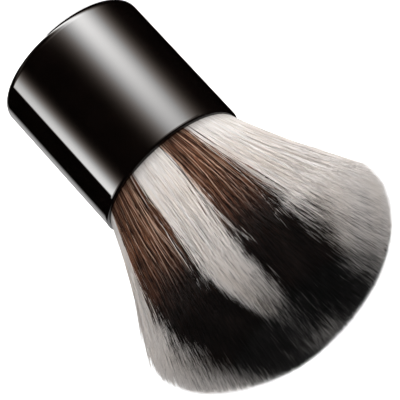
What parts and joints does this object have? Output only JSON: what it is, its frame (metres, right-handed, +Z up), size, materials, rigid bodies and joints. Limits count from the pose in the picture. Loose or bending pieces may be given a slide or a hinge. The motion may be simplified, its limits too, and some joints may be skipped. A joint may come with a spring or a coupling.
{
  "type": "kabuki makeup brush",
  "caption": "Free-standing kabuki makeup brush: a short gloss-black metal handle holding a wide, domed head of soft bristles in dark and light stripes around a black core.",
  "frame": {"origin": "centre of the flat base, on the surface the brush stands on", "axes": "+Z up along the handle's axis, from the base to the crown of the bristles; the picture looks along +Y, tilted down"},
  "size_m": [0.0544, 0.0541, 0.0758],
  "materials": {
    "gloss_black": "gloss",
    "steel": "turned",
    "liner_plastic": "matt moulded",
    "set_resin": "set clear resin",
    "binding_cord": "waxed cord",
    "black_hair": "soft bristle",
    "dark_hair": "soft bristle",
    "light_hair": "soft bristle"
  },
  "bodies": {
    "root": {"handle_shell": "gloss_black", "base_weight": "steel", "liner_cup": "liner_plastic", "resin_plug": "set_resin", "root_binding": "binding_cord", "core_tuft": "black_hair", "dark_tuft_1": "dark_hair", "dark_tuft_2": "dark_hair", "dark_tuft_3": "dark_hair", "dark_tuft_4": "dark_hair", "dark_tuft_5": "dark_hair", "light_tuft_1": "light_hair", "light_tuft_2": "light_hair", "light_tuft_3": "light_hair", "light_tuft_4": "light_hair", "light_tuft_5": "light_hair"}
  },
  "joints": []
}
